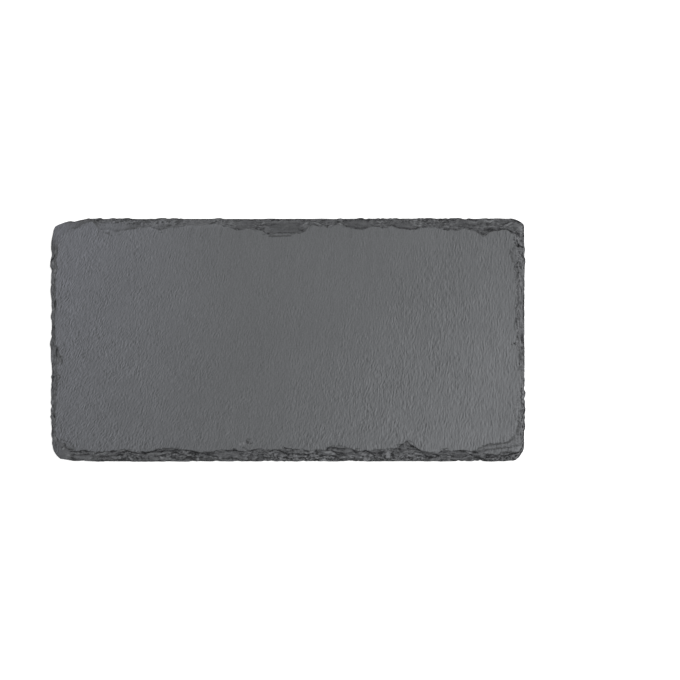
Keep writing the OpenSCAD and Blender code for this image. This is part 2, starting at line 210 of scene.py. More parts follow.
# Cracks and hollows, below 0, and crests and fresh facets, above 0, are also shaped into the surface and
# painted: dark ones as painted shade in cracks, hollows and under rims, pale ones as painted light on crests
# and facets. The half width of each in pixels, its strength and its line in the photo
MARKS = (
    # front side, from the left
    (1.2, -0.7, (65, 442), (66.5, 446)), (1.0, -0.7, (62.5, 447)),
    (0.6, 1.8, (63, 448.8), (64.2, 447.4)), (0.7, -0.5, (56, 444), (56.6, 448)),
    (2.4, 0.3, (65, 452), (70, 453.5)), (0.8, 0.4, (69, 440), (70.6, 442.6)),
    (1.2, -0.6, (68, 447.5), (72, 447.8), (75, 450)), (0.5, -0.5, (70, 451), (80, 450.8)),
    (0.5, -0.6, (78, 450.6), (83, 449.8), (92, 450.4)), (0.5, -0.4, (79, 453.5), (90, 454.3)),
    (2.0, 0.2, (74, 457), (92, 457.5)),
    (0.7, -0.8, (95.5, 453), (98, 451.2), (104, 450.8), (108, 451)),
    (1.0, -0.8, (110, 451.2), (113, 451)), (0.5, -0.6, (113, 450), (118, 449.6)),
    (1.0, -0.6, (117, 452.5), (123, 454.5)),
    (0.6, -0.9, (119, 452), (123, 450.5), (128, 450.5), (133, 451.5), (143, 452.3)),
    (0.4, -0.6, (126, 448.8), (131, 449.2)), (0.8, 1.5, (129.5, 457), (132, 459)),
    (0.8, 0.7, (114, 457), (117, 457)), (0.7, -0.6, (116, 459), (119, 459)),
    (1.0, -0.8, (144, 452.6), (146, 453.4)),
    (0.6, -0.9, (143, 452), (151, 450.6), (155, 449.8), (158, 448.3), (162, 447.6), (177, 447.3), (180, 448)),
    (0.7, -0.6, (157, 450), (161, 451.5), (166, 450.5)),
    (0.7, -0.8, (172, 450.5), (176, 452), (180, 453.5), (183, 454)),
    (0.4, 0.6, (160, 453.5), (166, 452.8)), (0.5, -0.6, (160, 455), (165, 454), (171, 453.3)),
    (0.9, 0.9, (161, 457), (164, 457), (167, 456.5)),
    (0.8, -0.7, (185, 455), (189, 457), (193, 459)), (1.1, 0.6, (185, 450.5)),
    (1.5, 0.3, (186, 453), (192, 455)),
    (0.6, -0.9, (184, 449), (190, 449.5), (194, 451), (199, 452), (203, 452.3)),
    (1.8, -0.5, (206, 452.5), (214, 452.5)),
    (0.5, -0.7, (214, 451.5), (216, 449.7), (228, 449.3), (234, 450.3), (243, 450.5)),
    (0.6, -0.8, (198, 456.5), (203, 457.3)), (0.9, 0.8, (197.5, 458.5)),
    (0.9, 0.9, (220.5, 458.5)), (1.2, -0.4, (222, 458), (241, 458)),
    (0.9, -1.3, (245.6, 439.8), (247.6, 441.6)), (0.5, -0.5, (249, 443), (252.4, 442.2)),
    (0.6, 0.7, (243.3, 441.4), (243.6, 444)), (0.7, -0.6, (244, 447.4), (242.6, 446.2)),
    (0.8, 0.9, (240.4, 443.2), (241, 444.6)), (0.5, -0.5, (246, 438), (251, 438.4)),
    (0.6, -0.7, (244.5, 447), (247, 449.3), (253, 449.5), (257, 448), (262, 448)),
    (0.6, -0.9, (267.5, 448), (270, 450), (274, 449), (279, 449.5), (283, 450)),
    (0.6, -0.6, (282, 445), (284.5, 446.8), (288, 448)), (1.2, -0.6, (282, 450.5), (288, 451.5)),
    (0.6, -0.8, (291, 448.2), (298, 448.8), (303, 448.5), (309, 451)),
    (0.7, -0.7, (293, 453), (299, 453.5), (305, 454), (310, 454)),
    (0.8, 0.8, (309, 452), (312, 450)), (1.4, -0.6, (276, 458)),
    (0.6, -0.8, (284, 456), (287, 457.5)), (0.8, 1.2, (279.5, 456), (281.5, 457.5)),
    (0.7, -0.8, (303, 455.5), (304, 459)), (0.6, -0.7, (307, 456.5), (310, 458)),
    (0.6, 0.9, (308, 459), (311, 459.3)), (0.6, 0.9, (295, 458.5), (299, 459)),
    (0.7, 0.6, (293, 456.5), (297, 455.5)), (0.6, 0.9, (321, 459), (324, 459)),
    (0.5, -0.7, (314, 449), (322, 448.8)), (0.5, -0.6, (325, 446.5), (331, 445.8), (337, 446.3)),
    (0.8, -0.9, (325, 449.5), (331, 449.8), (335, 451.5), (338, 454)),
    (1.3, 1.1, (325, 452.5), (331, 452), (334, 453.5)),
    (0.7, -0.9, (321, 455), (326, 455), (334, 455.3), (338, 457)), (1.2, -0.5, (317, 452)),
    (0.6, -0.8, (337, 447.5), (341, 447), (345, 447), (350, 448), (354, 448.5), (360, 448)),
    (0.7, -0.8, (352, 449.5), (355.5, 451.2), (363, 450), (368, 450.3), (372, 453), (375, 455)),
    (1.8, -0.5, (339, 453), (343, 452)), (2.0, 0.4, (346, 451), (350, 452)),
    (1.9, 1.1, (360, 453), (366, 453.5)), (1.4, 1.5, (368.5, 454), (371, 455)),
    (1.2, 0.4, (369, 457.5), (373, 457.5)), (0.9, 1.2, (360.5, 457.3)), (0.9, 1.3, (364.5, 457.3)),
    (0.9, 0.7, (353, 456)), (0.5, -0.7, (371, 449), (385, 449)),
    (2.4, -0.5, (376, 452), (382, 454)), (0.8, -1.0, (383.5, 454.5), (385, 458)),
    (2.0, 1.1, (387, 452), (388.5, 456.5)), (0.7, -0.9, (391.5, 452), (392.5, 456), (394, 458)),
    (0.6, -0.7, (385, 448.5), (390, 448), (400, 448.3)),
    (0.6, -0.5, (394, 445), (397, 443.8), (402, 443), (405, 440.8), (407, 440)),
    (0.7, -0.8, (407, 441), (410, 444), (414, 446.5), (418, 449.3), (422, 450.5), (427, 451.3), (432, 451)),
    (1.4, -0.4, (409, 444.5), (413, 447)),
    (0.4, 0.5, (400, 452), (404, 453), (408, 454), (410, 455.5)),
    (0.6, 1.1, (407, 454), (409.5, 455.8), (413, 455), (415.5, 453.3), (420, 454)),
    (0.6, 1.1, (415, 457.5), (419, 456.5), (424, 457.5)), (0.8, -0.5, (404, 454), (408, 456.5)),
    (0.8, -0.6, (424, 454), (428, 456.5), (432, 456)), (0.7, -0.7, (432, 453.5), (438, 455.5)),
    (0.8, 0.4, (431, 449.5), (437, 449.5)), (0.5, -0.6, (440, 448), (446, 447.8), (448, 449)),
    (0.6, -0.9, (452, 450), (456, 449.5), (460, 449.5), (465, 450)),
    (0.5, 0.6, (466, 450.5), (469, 451.5), (471, 453)),
    (0.6, -0.7, (467, 452), (470, 453.8), (472, 455)), (1.6, -1.0, (473, 450.8)),
    (1.0, 0.6, (475, 453.5), (481, 454.5), (485, 452.5)),
    (0.9, -0.8, (474, 456.5), (478, 456.5), (484, 459)), (1.0, -0.6, (486, 454.5), (489, 454.5)),
    (0.8, -0.8, (487, 457), (493, 457.5)),
    (0.9, -1.0, (497, 454), (500, 451.5), (505, 451.5), (514, 451), (517, 452)),
    (0.6, -1.3, (500, 455.2), (506.3, 454.6), (511.3, 453.8)), (0.8, 0.9, (495.5, 457.5)),
    (0.7, 1.5, (515.5, 457.4)), (0.6, 0.8, (516.6, 456.2)), (0.7, 1.2, (510.8, 458.4)),
    (0.8, 1.0, (507.6, 457.9)), (0.7, -1.2, (511.9, 457.3)), (0.6, -1.3, (515.5, 455.4)),
    (0.7, 0.5, (519, 453.5)), (0.5, 1.3, (514.8, 454.1), (512.4, 454.5), (510.8, 455)),
    (0.8, 1.7, (517.7, 452.4)),
    # thin layers on the face at the front right corner
    (0.5, -0.9, (481, 444.8), (487, 444), (489, 443), (497, 443), (501, 442), (508, 440.6)),
    (0.4, -0.8, (480, 448.5), (487, 448.5), (493, 448), (497, 447.5), (500, 446), (503, 445.8)),
    (0.4, -0.3, (475, 451), (485, 450.5), (495, 450)), (1.3, 0.7, (513, 447), (518.5, 446.3)),
    (0.7, -2.6, (521.6, 443.4), (521.4, 445.6), (520, 447.8), (518.4, 450.6), (515.8, 452), (511, 452.8)),
    (0.6, 2.0, (521.9, 446.6), (520.9, 448.6), (520, 450.2)),
    (0.9, 0.9, (519.8, 445), (517, 449), (513.5, 450.6), (511, 450.2)),
    (0.6, -1.4, (522.8, 447), (521.8, 450.5), (520, 453.6)),
    (0.6, -0.7, (508, 452.8), (514, 452.6), (516, 455)), (0.6, -1.8, (522.7, 433), (522.7, 440)),
    (0.6, -1.3, (521.5, 440.6)), (0.6, -2.4, (519.7, 432.8), (519.7, 434.9)),
    (0.6, -2.2, (519.7, 435.8), (519.7, 438)), (0.6, 0.9, (521, 432), (520.9, 439)),
    (0.7, 0.9, (515.2, 439.4)), (0.6, 0.8, (514.4, 440.8)), (0.6, -0.9, (516, 440.4)),
    (0.6, -0.8, (513.6, 436.4)), (0.6, -0.7, (513.6, 439.4)), (0.7, 0.7, (513.5, 435.2)),
    (0.6, 0.8, (512.4, 432.2)),
    # back side, from the left
    (1.5, -0.18, (66, 232.5), (75, 229), (81, 226), (87, 223.5), (90, 221)),
    (4.5, 0.38, (57, 236), (62, 228), (72, 224)), (4.5, 0.32, (100, 225), (112, 227), (128, 225)),
    (4.0, 0.24, (150, 223), (240, 223)), (3.0, 0.3, (144, 224), (157, 226)),
    (1.0, 0.3, (150, 229), (158, 229.6)), (0.6, -0.28, (57, 228), (61, 228)),
    (0.6, -0.25, (95, 227), (99, 228.5), (103, 229.5)),
    (1.4, -0.3, (110, 228), (114, 230), (118, 231.5), (122, 230.5)),
    (0.8, -0.35, (103, 232.3), (112, 232.6)),
    (1.0, -0.19, (122, 230), (128, 229.5), (134, 229), (146, 227.5)), (1.0, -0.28, (155, 229)),
    (0.7, -0.33, (154, 221.5)), (1.0, -0.17, (158, 225.5), (170, 225.5)),
    (0.6, -0.28, (159, 232.5), (163, 232.5)), (1.0, -0.33, (178, 227.5)),
    (0.5, -0.33, (182, 219), (182.5, 224)),
    (1.0, -0.9, (209.5, 223.4), (212, 223.2), (216, 222.4)),
    (0.6, -0.28, (212, 221), (216, 219.5)), (1.2, 0.3, (223, 225.8), (232, 227)),
    (0.5, -0.7, (232, 228.8), (236.5, 229.2)), (0.5, -0.6, (237.6, 229.6), (240, 229.8)),
    (0.5, -0.33, (255, 227), (259, 227.2)), (0.6, -0.44, (255, 229.5), (261, 229.5), (264, 231.5)),
    (1.2, 0.5, (262.5, 222.5)),
    (0.7, -0.5, (263, 233.6), (272, 233.9), (277, 233), (290, 232.8), (296, 233.2), (301, 232.4), (305, 231)),
    (0.6, -0.6, (268, 236.7), (274, 236.6), (280, 235.8), (291, 236.2)),
    (3.0, -0.12, (271, 228), (298, 228)), (1.0, -0.28, (297, 229), (302, 230.5), (305, 231)),
    (2.0, 0.4, (303, 226), (308, 225)), (0.5, -0.28, (309, 224.5), (306, 229)),
    (0.5, -0.39, (312, 224), (308, 230)), (0.6, -0.22, (270, 224.5), (276, 224), (286, 225)),
    (0.6, -0.44, (269, 219.5), (274, 219.5)), (0.7, -0.33, (313, 224), (318, 226)),
    (1.0, -0.22, (325, 226.5), (330, 226.5), (334, 225.5)), (0.8, -0.28, (320, 221.5), (324, 220)),
    (1.4, -0.33, (342, 226.5), (350, 227.5), (356, 228.3), (361, 228.5), (366, 227)),
    (0.8, 0.5, (377, 222), (381, 222.6)), (1.2, -0.28, (382, 228)),
    (1.0, -0.44, (390, 225.5), (394, 226), (398, 228), (404, 229), (410, 229), (418, 227.5)),
    (0.5, 0.8, (412, 225), (421, 225.2)), (0.8, -0.28, (417, 223.8)),
    (0.8, -0.28, (438, 227), (440, 229.5), (452, 229.3), (460, 229.5)),
    (0.5, 0.6, (442, 226.3), (446, 226), (448, 228)), (0.9, -0.39, (455, 223.3)),
    (0.8, -0.33, (459, 226)), (1.0, -0.28, (462, 226), (468, 228.5), (473, 229)),
    (1.6, -0.44, (474, 230), (477, 232.5), (479, 232)), (1.4, -0.22, (481, 235), (486, 234)),
    (0.9, -0.5, (484, 229.8), (490, 230), (498, 229), (505, 228.5)),
    (0.5, 0.7, (483, 226.5), (489, 226), (496, 226.5)),
    (0.7, 1.3, (483.5, 220.2), (487, 221), (490.5, 221), (493, 220)), (0.8, 0.5, (497, 224)),
    (0.9, -0.8, (504.5, 229), (509, 231), (513.5, 233.6)),
    (0.7, 0.6, (503.5, 225.8), (507, 224.4), (511, 222.2)),
    (0.6, 0.4, (507.6, 226.8), (510.6, 225.2)), (0.6, -0.5, (504, 224), (509, 221.6)),
    (3.0, -0.22, (514, 228)), (1.2, 0.6, (520.5, 226), (520, 232)),
    # right side, from the back
    (1.5, -2.0, (515.6, 233), (516.4, 235)), (0.7, 0.8, (522, 235)), (0.7, 0.8, (512, 241.5)),
    (0.8, -0.5, (514.5, 241)), (0.8, -1.8, (517, 244), (519.5, 245.5), (523, 247)),
    (0.8, -1.5, (515.5, 246.5), (518.5, 246)), (0.5, -0.5, (509.5, 248), (509, 254), (510, 260)),
    (0.5, -0.6, (514, 250), (514, 258), (513.5, 262)), (0.8, 0.6, (521.5, 261)),
    (1.0, -0.7, (519, 266), (521, 267)), (0.7, -0.8, (514, 320), (513, 325), (513.5, 330)),
    (1.6, 0.2, (517.5, 322), (517.5, 332)), (0.7, -1.0, (521, 331), (520.8, 343)),
    (0.9, -0.9, (512.5, 342.5)), (0.5, -0.6, (509.5, 344), (511, 344)), (0.9, -0.9, (520.5, 347)),
    (1.2, -0.5, (521, 352), (521, 355)), (0.6, -0.6, (517.8, 353), (518, 360), (516.8, 362)),
    (0.8, -0.5, (517, 369)), (0.5, -0.7, (520, 384), (520.2, 395), (519.6, 404)),
    (1.0, 1.1, (521.6, 385.6)), (0.6, -1.0, (520.5, 387.8)), (0.9, -1.9, (520.6, 391)),
    (0.8, 0.7, (522, 391.4), (522.4, 394)), (0.9, 1.8, (522.1, 397)), (0.7, 1.6, (521.5, 400.6)),
    (0.6, -0.9, (520.4, 397)), (0.6, -1.0, (523.4, 403.5), (523.4, 406.5)),
    (0.7, -1.0, (520.6, 403.3)), (0.6, -1.4, (521.6, 406.7)), (0.6, -1.0, (519.7, 405.8)),
    (0.5, 1.2, (520.6, 405.6)), (0.7, 1.7, (522.7, 407.6)), (0.8, -1.1, (520.5, 410.5)),
    (0.5, -1.9, (521.5, 413.8), (521.5, 418)), (0.5, 2.0, (522.7, 413.8), (522.7, 417.4)),
    (0.8, 1.3, (520, 416.4)), (0.6, -1.2, (518.6, 417)), (0.7, -1.3, (520.5, 419.7)),
    (0.6, 2.0, (521.3, 419.8), (521.3, 422.2)), (0.8, -1.0, (517.4, 420.3)),
    (0.6, -1.6, (521.9, 425), (521.9, 427)), (0.5, 1.7, (523.2, 425), (523.2, 427.4)),
    (0.5, -0.9, (516.9, 422.6), (516.3, 426), (515.5, 428), (515.6, 431.4)),
    (0.8, 0.9, (514.7, 423.3)),
    # left side, from the back
    (0.7, -0.9, (55.5, 253.5), (53.6, 257.5), (51.5, 259.5)),
    (0.8, 0.9, (52.5, 261), (53.5, 263.5)), (0.6, 0.5, (57.8, 240), (57.8, 244)),
    (0.8, -1.7, (55.3, 279), (54.9, 280.8)), (0.7, -1.6, (53.3, 284.6)),
    (0.6, -1.3, (55.7, 285.6), (55.8, 287.4)), (0.7, 1.6, (54.1, 283)),
    (0.8, -3.0, (55.2, 301.2), (55.6, 303.6), (55.1, 306)), (0.4, -0.7, (55, 312), (55.2, 320)),
    (0.6, -1.5, (54.6, 325.4), (54, 327)), (0.4, -0.6, (55.4, 328), (55.4, 339)),
    (0.8, -0.8, (52.3, 337)), (0.8, -0.9, (55.4, 345.6), (57, 348), (57.4, 351), (56, 353.2)),
    (0.6, -0.5, (56.8, 353.6), (57, 357)), (0.6, -0.6, (61, 355.4), (62.4, 359), (63.3, 362.4)),
    (0.9, 0.5, (61, 353.5)), (0.6, -0.9, (52.5, 369), (52.4, 374)), (0.9, -2.4, (52.8, 376.4)),
    (0.7, -0.6, (60.5, 376.4), (61, 378)), (0.8, -0.7, (58.8, 385)),
    (0.6, 1.1, (52.9, 399), (52.7, 402.6)), (0.8, 1.5, (52.3, 408.3)),
    (0.8, -2.6, (54.6, 413.8), (54.8, 416.6)), (0.5, -0.7, (52.3, 425), (52.5, 433)),
)
# Ovals in the photo, each with its middle, its half size and its strength: smooth stretches of the
# edge, stretches as pale as the face, and stretches of crumbs
CALM = (
    ((285, 228), (28, 11), 1.0), ((66, 230), (34, 22), 0.9), ((116, 228), (26, 8), 1.0),
    ((472, 224), (44, 8), 0.4), ((57, 452), (18, 15), 1.0), ((245, 225), (15, 7), 0.8),
    ((201, 222), (20, 6), 0.7), ((358, 225), (20, 7), 0.9), ((404, 226), (18, 6), 0.8),
    ((515, 227), (7, 6), 0.7), ((83, 456), (14, 5), 0.8), ((459, 454), (9, 5), 0.6),
    ((228, 454), (16, 4), 0.6),
)
PALE = (
    ((60, 232), (17, 19), 1.0), ((80, 224), (16, 7), 0.5), ((53, 448), (12, 12), 0.85),
    ((112, 226), (22, 9), 0.75), ((155, 222), (75, 9), 0.55), ((222, 222), (34, 9), 0.5),
    ((285, 229), (26, 9), 0.2), ((53, 345), (7, 120), 0.3),
)
CRUMBS = (
    ((140, 221), (60, 5), 1.3), ((215, 220), (35, 4), 1.0), ((425, 221), (50, 4), 0.6),
    ((300, 457), (60, 5), 1.3), ((400, 457), (60, 5), 1.0), ((500, 457), (20, 5), 1.3),
    ((130, 457), (20, 5), 0.7), ((180, 455), (30, 6), 0.7), ((520, 418), (10, 62), 1.1),
    ((511, 440), (18, 16), 0.9), ((246, 443), (16, 6), 0.35), ((519, 243), (9, 32), 0.9),
)


def blend(f):
    """Eases a share from 0 to 1, as 6f^5 - 15f^4 + 10f^3, and holds it there outside."""
    f = np.clip(f, 0, 1)
    return f * f * f * (f * (6 * f - 15) + 10)


def noise(u, v, seed, wrap=256):
    """Smooth noise from 0 to 1: a table of random numbers, blended between its whole places."""
    table = np.random.default_rng(seed).random((wrap, 256))
    i, j = np.floor(u).astype(int), np.floor(v).astype(int)
    fu, fv = blend(u - i), blend(v - j)
    a, b = table[i % wrap, j % 256], table[(i + 1) % wrap, j % 256]
    c, d = table[i % wrap, (j + 1) % 256], table[(i + 1) % wrap, (j + 1) % 256]
    return (a + (b - a) * fu) * (1 - fv) + (c + (d - c) * fu) * fv


def rough(x, y, cell, seed, octaves):
    """Layered noise about 0, in cells of one size or of a width and a height: each layer is twice
    as fine as the last and half as strong."""
    width, height = np.broadcast_to(cell, 2)
    u, v = x / width, y / height
    total = sum(0.5**k * (noise(u * 2**k, v * 2**k, seed + k) - 0.5) for k in range(octaves))
    return total / (2 - 0.5 ** (octaves - 1)) * 2


def shards(u, v, seed, wrap):
    """Flat shards about 0: each whole cell holds one jittered point, and the shard round it is a
    plane with a height and two tilts of its own."""
    table = np.random.default_rng(seed).random((wrap, 256, 5))
    i, j = np.floor(u).astype(int), np.floor(v).astype(int)
    nearest, value = np.full(np.shape(u), np.inf), np.zeros(np.shape(u))
    for di in (-1, 0, 1):
        for dj in (-1, 0, 1):
            cell = table[(i + di) % wrap, (j + dj) % 256]
            off_u, off_v = u - i - di - cell[..., 0], v - j - dj - cell[..., 1]
            plane = cell[..., 2] - 0.5 + (cell[..., 3] - 0.5) * off_u + (cell[..., 4] - 0.5) * off_v
            gap = off_u**2 + off_v**2
            value = np.where(gap < nearest, plane, value)
            nearest = np.minimum(gap, nearest)
    return value


def side_columns(side, count):
    """Columns of one side, evenly spaced from the middle of the corner before it to the middle of
    the next: each one's point on the outline, its point on the guide line, and its turn in a
    corner. Corners are arcs, and the guide line's are smaller, so columns fan out."""
    half, span = HALF_RUN[side], HALF_SPAN[side]
    r0, r1 = CORNER_R[side - 1], CORNER_R[side]
    arc0, run = r0 * math.pi / 4, 2 * half - r0 - r1
    s = np.arange(count) / count * (arc0 + run + r1 * math.pi / 4)
    turn = np.where(s < arc0, (s - arc0) / r0, np.maximum(0, (s - arc0 - run) / r1))
    along = np.clip(s - arc0, 0, run) + r0 - half
    r = np.where(s < arc0, r0, r1)
    outer = np.stack([along + r * np.sin(turn), span - r + r * np.cos(turn)])

    r_near = np.where(along < 0, r0, r1)
    start = half * (1 - FAN_SHARE)
    part = np.clip((abs(along) - start) / (half - r_near - start), 0, 1)
    inner_along = along - np.sign(along) * (GUIDE_DEPTH + GUIDE_R - r_near) * part**2
    inner = np.stack([
        inner_along + GUIDE_R * np.sin(turn),
        span - GUIDE_DEPTH - GUIDE_R + GUIDE_R * np.cos(turn),
    ])
    c, d = math.cos(math.pi / 2 * side), math.sin(math.pi / 2 * side)
    turned = np.array([[c, d], [d, -c]])
    return (turned @ outer).T, (turned @ inner).T, turn


# All columns round the edge, from the middle of the front left corner anticlockwise: each one's
# points, its turn in a corner, its side, and how far round it is
SIDE_COUNTS = [2 * cells for cells in FACE_CELLS * 2]
EACH_SIDE = [side_columns(side, count) for side, count in enumerate(SIDE_COUNTS)]
OUTER, INNER, TURN = (np.concatenate(parts) for parts in zip(*EACH_SIDE))
SIDE = np.repeat(np.arange(4), SIDE_COUNTS)
COLUMNS = len(SIDE)
STEP_ALONG = np.linalg.norm(np.roll(OUTER, -1, axis=0) - OUTER, axis=1)
ALONG = np.cumsum(STEP_ALONG) - STEP_ALONG[0]
ROUND = STEP_ALONG.sum()


def by_side(values):
    """Gives each column its side's value, and in a corner mixes the two sides' by the turn."""
    own, other = values[SIDE], values[(SIDE + np.sign(TURN).astype(int)) % 4]
    return own + (other - own) * (abs(TURN) / (math.pi / 2))


def at_inset(inset):
    """Points that lie inset inwards from the outline, along their columns."""
    return OUTER + (INNER - OUTER) * (np.asarray(inset)[..., None] / GUIDE_DEPTH)


def on_board(points):
    """Where points of the photograph lie on the board."""
    away = (np.array(points, float) - BOX_MID) / BOX_HALF
    return away * np.array([HALF_L, -HALF_W])


def cross(a, b):
    """The areas that pairs of flat vectors span."""
    return a[..., 0] * b[..., 1] - a[..., 1] * b[..., 0]


def crossing(points):
    """How far in from the outline each column first crosses a line through points of the
    photograph, or 0 where it doesn't cross it on its own side of the board: way x t + outer =
    a + (b - a) x s, solved for each pair."""
    line = on_board(points)
    way, piece = (INNER - OUTER)[:, None], (line[1:] - line[:-1])[None]
    start = line[None, :-1] - OUTER[:, None]
    area = cross(way, piece)
    area = np.where(abs(area) < TINY, TINY, area)
    t, s = cross(start, piece) / area, cross(start, way) / area
    first = np.where((s >= 0) & (s <= 1) & (t > LEAST_CROSSING), t, np.inf).min(axis=1)
    return np.where(first < MOST_CROSSING, np.maximum(first, 0), 0) * GUIDE_DEPTH


def spots(x, y, ovals):
    """The strength of the strongest of some ovals: whole at its middle and 0 outside it."""
    near = np.zeros(np.shape(x))
    for middle, half, strength in ovals:
        mid_x, mid_y = on_board([middle])[0]
        gap = np.hypot((x - mid_x) / (half[0] * PIXEL), (y - mid_y) / (half[1] * PIXEL))
        near = np.maximum(near, strength * blend(1.5 * (1 - gap)))
    return near


def marks(x, y):
    """The sum of the marks at each point: strength x exp(-(distance to the line / half width)^2).
    The lines waver by less than a pixel, and fade towards both ends. A mark of one point is a
    line of no length."""
    x = x + 0.9 * PIXEL * rough(x, y, 1.9 * MM, 151, 2)
    y = y + 0.9 * PIXEL * rough(x, y, 1.9 * MM, 161, 2)
    total = np.zeros(np.shape(x))
    for half, strength, *line in MARKS:
        ends = on_board(line + line[-1:])
        lengths = np.hypot(*(ends[1:] - ends[:-1]).T)
        gap, place, before = np.full(np.shape(x), np.inf), np.full(np.shape(x), 0.5), 0.0
        for (ax, ay), (bx, by), long in zip(ends[:-1], ends[1:], lengths):
            t = ((x - ax) * (bx - ax) + (y - ay) * (by - ay)) / max(long**2, TINY)
            t = np.clip(t, 0, 1)
            near = np.hypot(x - ax - t * (bx - ax), y - ay - t * (by - ay))
            if long > 0:
                place = np.where(near < gap, (before + t * long) / lengths.sum(), place)
            gap, before = np.minimum(gap, near), before + long
        fade = 0.45 + 0.55 * np.sqrt(np.clip(4 * place * (1 - place), 0, 1))
        total = total + strength * fade * np.exp(-((gap / (half * PIXEL)) ** 2))
    return total * (1 + 0.7 * rough(x, y, 2.4 * MM, 171, 2))


def along_noise(cell, depth, seed, octaves):
    """Noise round the edge that closes on itself, in cells of about the given length. The depth is
    its place across the noise: lines of noise at near depths are alike."""
    n = max(8, round(ROUND / cell))
    total = 0
    for k in range(octaves):
        u = ALONG / ROUND * n * 2**k
        total = total + 0.5**k * (noise(u, depth * 2**k, seed + k, n * 2**k) - 0.5)
    return total * 2


def face_drop(x, y):
    """How far the riven face lies below its highest plane: long swells, and ribs along the
    grain, which leans from the vertical at the left and stands upright at the right."""
    across = x - y * np.interp(x, [-HALF_L, HALF_L * 0.6], [0.40, 0.08])
    swell = 0.22 * MM * (rough(x, y, 46 * MM, 11, 3) + 0.5)
    ribs = 0.10 * MM * (rough(across, y, (4.2 * MM, 24 * MM), 21, 3) + 0.5)
    return np.maximum(swell + ribs, 0)


def foot_flat(x, y):
    """1 where a foot sticks to the underside and 0 away from it."""
    near = np.ones(np.shape(x))
    for pad in PADS:
        low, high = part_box("foot_pad_" + pad)
        gap = np.hypot(x - (low.x + high.x) / 2, y - (low.y + high.y) / 2)
        near = np.minimum(near, blend((gap - (high.x - low.x) / 2) / FOOT_EASE))
    return 1 - near


def under_rise(x, y):
    """How far the riven underside lies above its lowest plane; it is flat at the feet."""
    swell = 0.25 * MM * (rough(x, y, 38 * MM, 31, 3) + 0.5)
    ribs = 0.12 * MM * (rough(x + y * 0.3, y, (6 * MM, 30 * MM), 41, 3) + 0.5)
    return (swell + ribs) * (1 - foot_flat(x, y))


def lay_in_layers(height, x, y, share):
    """Breaks a slope into cleavage layers: treads with short risers, on planes that sway."""
    level = height / LAYER + 1.6 * rough(x, y, 16 * MM, 61, 3)
    whole = np.floor(level)
    f = level - whole
    riser = f**5 / (f**5 + (1 - f) ** 5)
    return height + (whole + riser - level) * LAYER * share


def scoops(inset, edge, rim):
    """Conchoidal scars scattered over the bevel: each is the cap of an ellipse."""
    rng = np.random.default_rng(19)
    drop = np.zeros(inset.shape)
    for _ in range(SCARS):
        centre, middle = rng.uniform(0, ROUND), rng.uniform(0.0, 0.9)
        long, wide = rng.uniform(2.0, 8.0) * MM, rng.uniform(0.8, 2.6) * MM
        depth = rng.uniform(0.2, 0.7) * MM
        skew = rng.uniform(-0.5, 0.5)
        gap = (ALONG - centre + ROUND / 2) % ROUND - ROUND / 2
        near = np.flatnonzero(abs(gap) < long + wide)
        across = inset[:, near] - edge[near] - middle * (rim - edge)[near]
        bowl = 1 - ((gap[near] + skew * across) / long) ** 2 - (across / wide) ** 2
        drop[:, near] = np.maximum(drop[:, near], depth * np.sqrt(np.clip(bowl, 0, 1)))
    return drop


def rugged_rise(inset, x, y):
    """Shards in two sizes, in rows that bend and slip along the edge, and grain over them."""
    bent = inset + 1.3 * MM * rough(x, y, 6 * MM, 81, 2)
    slip = inset * np.clip(5 * along_noise(26 * MM, 4.5, 85, 2), -2.4, 2.4)
    rise = 0
    for (long, wide), depth, seed in ((COARSE_SHARD, 1.15 * MM, 91), (FINE_SHARD, 0.50 * MM, 93)):
        count = round(ROUND / long)
        u = ALONG / ROUND * np.ones(inset.shape) * count + slip / long
        rise = rise + depth * shards(u, bent / wide, seed, count)
    return rise + 0.45 * MM * rough(x, y, 2.6 * MM, 83, 4)


def broken_edge(inset, edge, rim, x, y, calm, drawn):
    """Heights over the underside of the chipped bevel and of the upright edge below it. The bevel climbs to a
    short wall under the rim, as share^power, and scars, shards, stepped cleavage layers and the drawn marks
    break it up."""
    share = np.clip((inset - edge) / (rim - edge), 0, 1)
    lively = 1 - 0.85 * calm.max(axis=0)
    upright = UPRIGHT_H * (1 + 0.6 * lively * along_noise(7 * MM, 0.5, 51, 3))
    wall = by_side(RIM_WALL) + 0.7 * lively * along_noise(8 * MM, 1.5, 53, 3)
    wall = MM * np.clip(wall, 0.12, 1.1)
    power = np.clip(1.15 + 0.9 * lively * along_noise(16 * MM, 2.5, 55, 2), 0.6, 2.0)
    height = upright + (THICKNESS - wall - upright) * share**power

    ease = 0.6 * MM
    inside = blend((1 - share) * (rim - edge) / ease) * blend((inset - edge) / ease + 0.3)
    rugged = by_side(RUGGED) * (1 - 0.95 * calm)
    height = height + inside * rugged * (rugged_rise(inset, x, y) - scoops(inset, edge, rim))
    strong = 0.25 + 0.75 * noise(x / (9 * MM), y / (9 * MM), 95)
    layered = lay_in_layers(height, x, y, strong * inside * (1 - 0.9 * calm))
    layered = layered + MARK_DEPTH * inside * np.clip(drawn, -2, 1)
    return np.clip(layered, 0.6 * upright, THICKNESS - 0.8 * wall), upright


def flakes(inset):
    """How deep the flakes are lifted off the face, and how dark the painted shade in the crevice along each
    is.
    """
    lifted, crevice = np.zeros(inset.shape), np.zeros(inset.shape)
    for number, (depth, *line) in enumerate(FLAKES):
        reach = crossing(line)
        ragged = 0.35 * MM * along_noise(1.8 * MM, 0.5, 101 + number, 2)
        reach = np.where(reach > 0, reach + ragged, 0)
        gap = (reach - inset) / (0.5 * MM)
        lifted = np.maximum(lifted, depth * MM * blend(gap))
        crevice = np.maximum(crevice, depth / 0.3 * np.exp(-((gap - 0.4) ** 2)) * (reach > 0))
    return lifted, crevice


